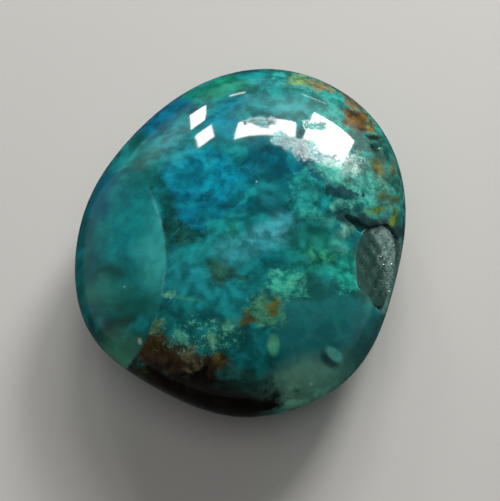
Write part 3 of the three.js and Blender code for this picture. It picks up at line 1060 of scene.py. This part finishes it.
@dataclass(frozen=True)
class ChalcedonyFinish:
    """The stone's colours and polish.

    deep and light are the ground colours. The lens lies inside an arc about a point of the pattern. The arc
    is crisp low down and faint above the heights where it fades, and a pale line runs along it that fades
    between its two widths. mottling is how dark and how bright a fine cloud makes the colour, and calm how
    much less so in clear places. polish is the roughness of the polish and that of worn places, where grit
    stands up by so many millimetres.
    """

    form: StoneForm
    shift: np.ndarray
    space: PatternSpace = PatternSpace()
    deep: str = "0b5658"
    light: str = "178e8e"
    arc_middle: Triple = (-19.9, -1.6, 0.0)
    arc_radius: float = 13.6
    arc_crisp: float = 0.15
    arc_faint: float = 1.5
    arc_fades: Pair = (2.0, 6.0)
    line_shade: str = "6ab8b0"
    line_width: Pair = (0.2, 0.03)
    line_strength: float = 0.4
    mottling: Pair = (0.62, 1.42)
    calm: float = 0.65
    polish: Pair = (0.05, 0.16)
    grit_height: float = 0.12
    scatter: float = 0.15
    scatter_reach: Triple = (0.6, 1.0, 1.0)
    scatter_scale: float = 0.8

    def placed(self, patches: tuple[Patch, ...]) -> list[tuple[Patch, float]]:
        """Find where patches lie on the stone.

        Args:
            patches: the patches.

        Returns:
            Each patch with the height of the stone's surface at its middle.
        """
        x, y = np.array([(patch.x, patch.y) for patch in patches]).T
        return list(zip(patches, self.space.seen_depth(self.form, self.shift, x, y).tolist()))

    def lay(self, weather: Weather, colour: Socket, patches: tuple[Patch, ...]) -> Socket:
        """Lay patches over a colour, one after another.

        Args:
            weather: the noises.
            colour: what they lie on.
            patches: the patches, from the deepest to the topmost.

        Returns:
            The colour with the patches on it.
        """
        for patch, depth in self.placed(patches):
            shade = linear(patch.shade)
            if patch.second:
                vein = weather.sharp_vein if patch.grain is RAGGED else weather.soft_vein
                shade = weather.sketch.mix(vein, shade, linear(patch.second))
            colour = weather.sketch.mix(weather.cover(patch, depth), colour, shade)
        return colour

    def colour(self, weather: Weather) -> Socket:
        """Draw the stone's colour: the crown's patches, the lens's inside its arc, and a mottling over all.

        Args:
            weather: the noises.

        Returns:
            The colour.
        """
        sketch = weather.sketch
        ground = sketch.mix(sketch.step(weather.cloud, 0.36, 0.62), linear(self.deep), linear(self.light))
        crown = self.lay(weather, ground, CROWN)
        lens = self.lay(weather, ground, LENS)
        # The depth is divided away, so that the arc runs straight down through the pattern.
        from_arc = sketch.moved(weather.space, self.arc_middle, scale=(1, 1, 1000), kind="TEXTURE")
        reach = sketch.math("ADD", sketch.length(from_arc), weather.bites[SMOOTH])
        upward = sketch.step(sketch.part(weather.space, "Y"), *self.arc_fades)
        crisp, faint = (
            sketch.step(reach, self.arc_radius + soft, self.arc_radius - soft)
            for soft in (self.arc_crisp, self.arc_faint)
        )
        inside = sketch.blend(upward, crisp, faint)
        colour = sketch.mix(inside, crown, lens)
        off_arc = sketch.math("ABSOLUTE", sketch.math("SUBTRACT", reach, self.arc_radius))
        broken = sketch.step(weather.cloud, 0.35, 0.6, 0, self.line_strength)
        line = sketch.math("MULTIPLY", sketch.step(off_arc, *self.line_width), broken)
        line = sketch.math("MULTIPLY", line, sketch.math("SUBTRACT", 1.0, upward))
        colour = sketch.mix(line, colour, linear(self.line_shade))
        fine = sketch.noise(weather.drifted, scale=0.8, detail=5, roughness=0.55)
        mottle = sketch.step(fine, 0.34, 0.66, *self.mottling)
        clear = sketch.math("MAXIMUM", inside, weather.cover(*self.placed((CLEAR_LOBE,))[0]))
        return sketch.scaled(colour, sketch.blend(sketch.math("MULTIPLY", clear, self.calm), mottle, 1.0))

    def worn(self, weather: Weather) -> Number:
        """Draw where the polish is broken by fine grit.

        Args:
            weather: the noises.

        Returns:
            How worn each place is, from 0 to 1.
        """
        total = 0.0
        for place, depth in self.placed(WORN):
            total = weather.sketch.math("MAXIMUM", total, weather.cover(place, depth))
        return total

    def dress(self, piece: bpy.types.Object) -> None:
        """Give the stone its material.

        Args:
            piece: the stone.
        """
        sketch = Sketch("chalcedony")
        weather = Weather(sketch, self.space.coordinates(sketch))
        colour = self.colour(weather)
        worn = self.worn(weather)
        height = sketch.noise(weather.space, scale=2.2, detail=6, roughness=0.7)
        bump = sketch.put("Bump", {"Strength": worn, "Distance": self.grit_height * MM, "Height": height})
        inputs = {
            "Base Color": colour,
            "Roughness": sketch.step(worn, 0, 1, *self.polish),
            "Normal": bump.outputs["Normal"],
            "IOR": QUARTZ_IOR,
            "Subsurface Weight": self.scatter,
            "Subsurface Radius": self.scatter_reach,
            "Subsurface Scale": self.scatter_scale * MM,
        }
        sketch.coat(piece, inputs)


@dataclass(frozen=True)
class QuartzFinish:
    """The tiny quartz points: grey-green, glassy and a little see-through, with white flecks that are painted
    glints.

    The colour is painted shade: it turns from a painted shadow on the hollow's shaded wall to the lit shade
    between two places along BRIGHT_SIDE, which a cloud shifts, and the painted glints show between two
    others.
    """

    shade: str = "8eb2aa"
    painted_shadow: str = "32584f"
    painted_glint: str = "e6f2ec"
    # Where the painted shade turns to the lit colour, along BRIGHT_SIDE.
    pale: Pair = (10.3, 11.9)
    glints_shown: Pair = (10.4, 11.2)
    glint_strength: float = 0.85
    cloud_shift: float = 2.4
    roughness: float = 0.12
    clearness: float = 0.12

    def dress(self, piece: bpy.types.Object) -> None:
        """Give the crust its material.

        Args:
            piece: the crust.
        """
        sketch = Sketch("quartz")
        place = sketch.place()
        cloud = sketch.noise(place, scale=1.2, detail=4, roughness=0.6)
        across = sketch.along(place, BRIGHT_SIDE)
        shifted = sketch.math("ADD", across, sketch.math("MULTIPLY", cloud, self.cloud_shift))
        # Painted shade: darker toward the hollow's shaded wall, lighter toward its lit side.
        colour = sketch.mix(sketch.step(shifted, *self.pale), linear(self.painted_shadow), linear(self.shade))
        # Painted glints: white flecks, shown only toward the lit side.
        painted_glint = sketch.step(sketch.noise(place, scale=5.0, detail=3, roughness=0.6), 0.62, 0.67)
        glint_cover = sketch.step(shifted, *self.glints_shown, 0, self.glint_strength)
        colour = sketch.mix(sketch.math("MULTIPLY", painted_glint, glint_cover), colour, linear(self.painted_glint))
        inputs = {
            "Base Color": colour,
            "Roughness": self.roughness,
            "IOR": QUARTZ_IOR,
            "Transmission Weight": self.clearness,
        }
        sketch.coat(piece, inputs)


@dataclass(frozen=True)
class Window:
    """A bright pane far from the stone, given by where it stands in the sky and how large it looks.

    azimuth, elevation, across, up and roll are degrees, and radiance is how bright its face is. It stands at
    a distance, in metres, from a point over the middle of the floor, and faces it. A pane that isn't mirrored
    lights the stone and doesn't show in its polish.
    """

    azimuth: float
    elevation: float
    across: float
    up: float
    radiance: float
    mirrored: bool = True
    roll: float = 0.0
    distance: float = 0.6
    aim_height: float = 8.0

    def light(self, name: str) -> None:
        """Hang the pane as a rectangular lamp that faces the stone.

        Args:
            name: the lamp's name.
        """
        way = toward(self.azimuth, self.elevation)
        lamp = bpy.data.lights.new(name, "AREA")
        lamp.shape = "RECTANGLE"
        lamp.size = 2 * self.distance * math.tan(math.radians(self.across) / 2)
        lamp.size_y = 2 * self.distance * math.tan(math.radians(self.up) / 2)
        lamp.energy = self.radiance * math.pi * lamp.size * lamp.size_y
        holder = bpy.data.objects.new(name, lamp)
        holder.location = way * self.distance + Vector((0, 0, self.aim_height * MM))
        turned = way.to_track_quat("Z", "Y") @ Quaternion((0, 0, 1), math.radians(self.roll))
        holder.rotation_euler = turned.to_euler()
        holder.visible_glossy = self.mirrored
        bpy.context.scene.collection.objects.link(holder)


@dataclass(frozen=True)
class Glow:
    """A soft brightening of the sky: where it stands and how far it spreads, in degrees, and its radiance."""

    azimuth: float
    elevation: float
    spread: float
    radiance: float


@dataclass
class Studio:
    """The pale floor, the soft lamps, the dim sky and the camera.

    The sky fades from its level at the horizon to that of its top, between two heights of a unit direction.
    Below the horizon and in front of the stone it is down to the given shares, each reached between two
    heights or depths of the direction. The camera looks at a point that stands off from aim by aim_right and
    aim_up across the picture.
    """

    windows: tuple[Window, ...] = (
        Window(-19.4, 13.6, 3.8, 11.5, 16, roll=-2),
        Window(-17.3, 30.2, 4.6, 8.6, 18, roll=8),
        Window(4.4, 36.0, 17.0, 7.0, 20, roll=2),
        Window(28.0, 29.9, 16.5, 17.5, 25, roll=4),
        Window(-7.8, 12.0, 5.5, 1.6, 6, roll=-18),
        Window(16.8, 8.9, 7.0, 0.8, 5, roll=10),
        Window(200, 72, 60, 60, 0.6, mirrored=False),
    )
    glows: tuple[Glow, ...] = (Glow(-27, 15, 10, 0.4), Glow(2, 30, 17, 0.5), Glow(30, 26, 24, 1.0))
    sky_colour: Shade = (0.92, 0.96, 1.0, 1.0)
    sky_levels: Pair = (0.3, 0.07)
    sky_heights: Pair = (0.0, 0.6)
    sky_below: float = 0.12
    below_heights: Pair = (-0.12, 0.0)
    sky_in_front: float = 0.3
    front_depths: Pair = (-0.7, 0.2)
    floor_half: float = 900.0
    floor_shade: str = "cfccc6"
    floor_roughness: float = 0.6
    camera_elevation: float = 60.0
    camera_distance: float = 130.0
    camera_sensor: float = 36.0
    camera_nearest: float = 10.0
    pixels_per_mm: float = 11.9
    image_width: float = 500.0
    aim: Triple = MIDDLE
    aim_right: float = 0.76
    aim_up: float = -0.63

    def lay_floor(self) -> None:
        """Lay the floor under the stone. It doesn't show in the polish, where a dark board would."""
        half = self.floor_half
        corners = np.array([[-half, -half, 0], [half, -half, 0], [half, half, 0], [-half, half, 0]])
        floor = mesh_object("floor", corners, [[0, 1, 2, 3]], smooth=True)
        inputs = {"Base Color": linear(self.floor_shade), "Roughness": self.floor_roughness}
        Sketch("pale_floor").coat(floor, inputs)
        floor.visible_glossy = False

    def hang_windows(self) -> None:
        """Hang every window."""
        for number, window in enumerate(self.windows):
            window.light(f"window_{number + 1}")

    def set_sky(self) -> None:
        """Set the sky: its fade with height, times the two dimmings, plus every glow.

        A glow rises smoothly from its edge to its middle with the cosine of the angle between the two.
        """
        world = bpy.data.worlds.new("sky")
        world.use_nodes = True
        drawing = Drawing(world.node_tree)
        way = drawing.put("TexCoord", {}).outputs["Generated"]
        parts = drawing.put("SeparateXYZ", {0: way}).outputs
        height, depth = parts["Z"], parts["Y"]
        strength = drawing.step(height, *self.sky_heights, *self.sky_levels)
        below = drawing.ramp(height, self.below_heights, (self.sky_below, 1.0))
        strength = drawing.math("MULTIPLY", strength, below)
        in_front = drawing.ramp(depth, self.front_depths, (self.sky_in_front, 1.0))
        strength = drawing.math("MULTIPLY", strength, in_front)
        for glow in self.glows:
            nearness = drawing.along(way, toward(glow.azimuth, glow.elevation))
            lit = drawing.step(nearness, math.cos(math.radians(glow.spread)), 1.0, 0.0, glow.radiance)
            strength = drawing.math("ADD", lit, strength)
        background = world.node_tree.nodes["Background"]
        drawing.feed(background, {"Color": self.sky_colour, "Strength": strength})
        bpy.context.scene.world = world
        bpy.context.scene.view_settings.view_transform = "Standard"

    def set_camera(self) -> None:
        """Set the camera above the stone's front, looking down at it."""
        elevation = math.radians(self.camera_elevation)
        back = Vector((0, -math.cos(elevation), math.sin(elevation)))
        up = Vector((0, math.sin(elevation), math.cos(elevation)))
        target = Vector(self.aim) + Vector((self.aim_right, 0, 0)) + self.aim_up * up
        camera = bpy.data.cameras.new("camera")
        camera.sensor_fit = "HORIZONTAL"
        camera.sensor_width = self.camera_sensor
        camera.lens = self.camera_sensor * self.pixels_per_mm * self.camera_distance / self.image_width
        camera.clip_start = self.camera_nearest * MM
        holder = bpy.data.objects.new("camera", camera)
        holder.location = (target + back * self.camera_distance) * MM
        holder.rotation_euler = back.to_track_quat("Z", "Y").to_euler()
        bpy.context.scene.collection.objects.link(holder)
        bpy.context.scene.camera = holder


def main() -> None:
    """Build the stone, its crust and the studio, and report each piece."""
    logging.basicConfig(level=logging.INFO, format="%(name)s: %(message)s")
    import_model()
    form = StoneForm()
    stone = PolishedStone(form)
    body = stone.build()
    ChalcedonyFinish(form, stone.moved_by).dress(body)
    LOG.info("polished stone: %d faces", len(body.data.polygons))
    crust = QuartzCrust(form, stone.moved_by).build()
    QuartzFinish().dress(crust)
    LOG.info("druse crust: %d faces", len(crust.data.polygons))
    studio = Studio()
    studio.lay_floor()
    studio.hang_windows()
    studio.set_sky()
    studio.set_camera()


if __name__ == "__main__":
    main()
